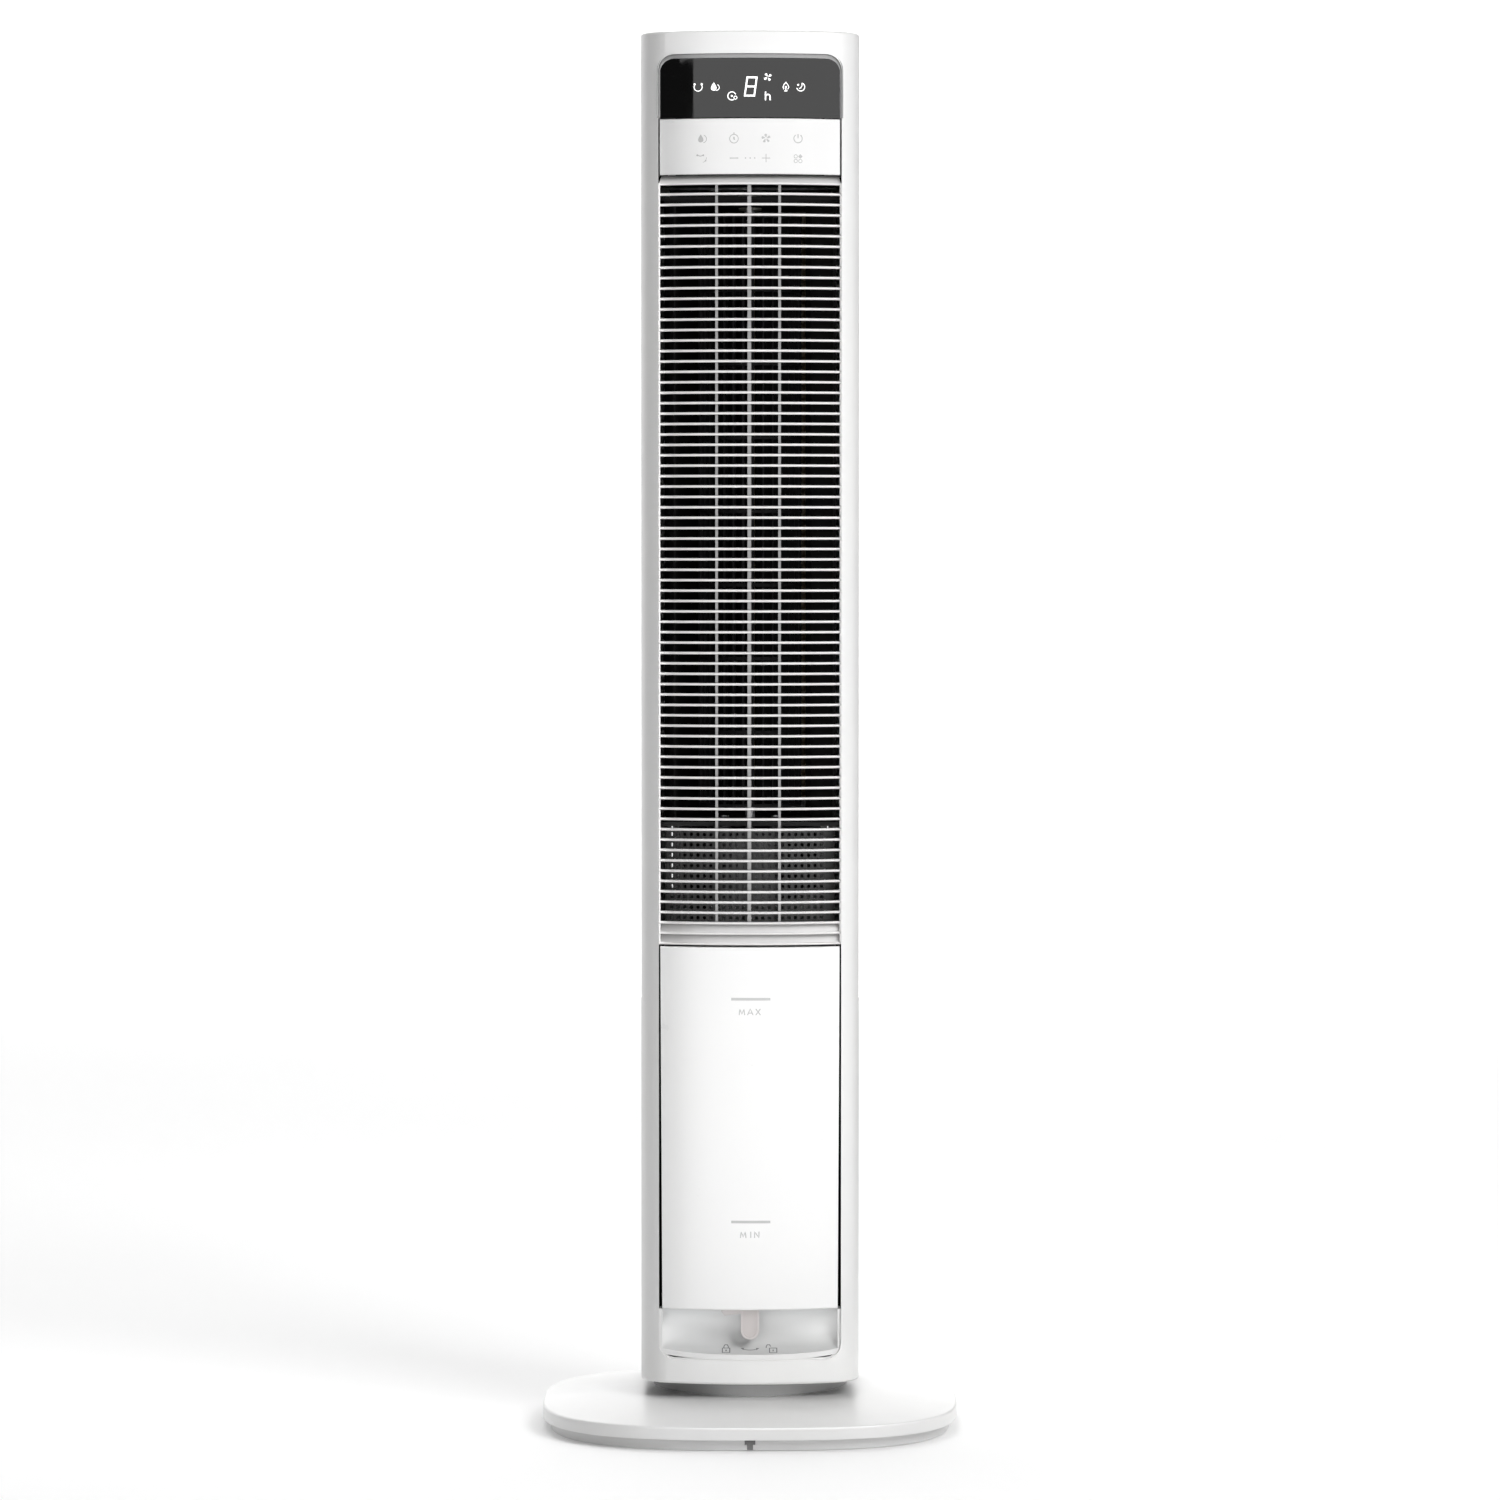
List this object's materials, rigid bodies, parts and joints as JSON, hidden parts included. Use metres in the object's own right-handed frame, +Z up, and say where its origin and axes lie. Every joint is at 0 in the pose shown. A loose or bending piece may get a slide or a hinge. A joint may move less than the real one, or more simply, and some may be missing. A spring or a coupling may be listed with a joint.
{
  "type": "tower fan",
  "caption": "Slim upright fan with a water tank: squarish base, turning tower, slatted outlet, touch panel and display, pull-out tank and lock lever.",
  "frame": {"origin": "on the floor on the tower's turning axis, at the underside of the middle foot; the base's own middle is 21.5 mm further forward", "axes": "+Z up, +X to the fan's right as seen from the front, -Y towards the front where the air comes out"},
  "size_m": [0.321, 0.299, 1.0734],
  "materials": {
    "housing_white": "satin white moulded plastic",
    "base_white": "satin white moulded plastic",
    "tank_white": "smooth white moulded plastic",
    "apron_white": "fine matt white moulded plastic",
    "panel_white": "smooth white plastic with printed marks",
    "grille_white": "satin white moulded plastic",
    "rear_grille_white": "satin white moulded plastic",
    "tank_cover_white": "satin white moulded plastic",
    "display_window": "glossy near-black window",
    "tank_clear": "frosted translucent plastic",
    "hose_clear": "milky flexible hose",
    "black_plastic": "matt black moulded plastic",
    "black_sheath": "black sheath",
    "guard_dark": "dark painted perforated sheet",
    "wheel_black": "matt black moulded plastic",
    "filter_plastic": "matt dark grey plastic",
    "filter_cloth": "fine woven filter net",
    "pad_paper": "corrugated wetted paper",
    "lever_grey": "satin warm grey plastic",
    "neck_grey": "satin grey glass-filled plastic",
    "steel": "zinc plated steel",
    "cast_weight": "cast iron",
    "motor_steel": "painted steel can",
    "rubber": "black rubber",
    "bearing_nylon": "natural acetal",
    "circuit_board": "circuit board with parts"
  },
  "bodies": {
    "base": {"base_plate": "base_white", "base_cover": "housing_white", "base_weight": "cast_weight", "base_feet": "rubber", "base_screws": "steel", "neck_collar": "neck_grey", "pivot_post": "neck_grey", "neck_screws": "steel", "lower_race": "bearing_nylon", "bearing_balls": "steel", "swing_gear": "bearing_nylon", "swivel_retainer": "steel"},
    "tower": {"air_duct": "black_plastic", "board_carrier": "black_plastic", "control_panel": "panel_white", "cord_gland": "rubber", "display_board": "circuit_board", "display_lens": "display_window", "drain_gutter": "black_plastic", "drip_tray": "black_plastic", "fan_motor": "motor_steel", "front_frame": "housing_white", "front_grille": "grille_white", "handle_cup": "housing_white", "housing_screws": "steel", "motor_bracket": "steel", "motor_grommets": "rubber", "motor_guard": "guard_dark", "motor_screws": "steel", "pad_frame": "filter_plastic", "power_board": "circuit_board", "rear_housing": "housing_white", "riser_pipe": "hose_clear", "scoop_apron": "apron_white", "swing_motor": "motor_steel", "swivel_bush": "bearing_nylon", "tank_bay": "black_plastic", "top_bearing": "bearing_nylon", "touch_board": "circuit_board", "tower_floor": "black_plastic", "upper_deck": "black_plastic", "upper_race": "bearing_nylon", "water_coupling": "rubber", "wet_pad": "pad_paper", "wiring_loom": "black_sheath"},
    "swing_pinion": {"swing_pinion": "bearing_nylon"},
    "wheel": {"fan_wheel": "wheel_black", "drive_shaft": "steel", "top_pivot": "steel"},
    "tank": {"tank_body": "tank_clear", "tank_front": "tank_white", "tank_cover": "tank_cover_white", "pump_housing": "black_plastic", "pump_pipe": "hose_clear", "lever_pin": "steel"},
    "impeller": {"pump_impeller": "bearing_nylon"},
    "lever": {"lock_lever": "lever_grey"},
    "rear_filter": {"rear_grille": "rear_grille_white", "filter_frame": "filter_plastic", "filter_mesh": "filter_cloth"}
  },
  "joints": [
    {"name": "tower_swing", "type": "hinge", "parent": "base", "child": "tower", "pos_m": [0, 0, 0.0404], "axis": [0, 0, 1], "range_deg": [-40, 40]},
    {"name": "swing_pinion_spin", "type": "hinge", "parent": "tower", "child": "swing_pinion", "pos_m": [0, 0.038, 0.05], "axis": [0, 0, 1], "range_deg": [-151, 151]},
    {"name": "wheel_spin", "type": "hinge", "parent": "tower", "child": "wheel", "pos_m": [0, -0.012, 0.7], "axis": [0, 0, 1], "continuous": true},
    {"name": "tank_slide", "type": "slide", "parent": "tower", "child": "tank", "axis": [0, -1, 0], "range_m": [0, 0.13]},
    {"name": "impeller_spin", "type": "hinge", "parent": "tank", "child": "impeller", "pos_m": [0.04, 0.026, 0.11], "axis": [0, 0, 1], "continuous": true},
    {"name": "lever_turn", "type": "hinge", "parent": "tank", "child": "lever", "pos_m": [0, -0.077, 0.112], "axis": [0, 1, 0], "range_deg": [-28, 28]},
    {"name": "filter_pull", "type": "slide", "parent": "tower", "child": "rear_filter", "axis": [0, 1, 0], "range_m": [0, 0.05]}
  ],
  "couplings": [
    {"joint": "swing_pinion_spin", "follows": "tower_swing", "ratio": 3.75}
  ]
}
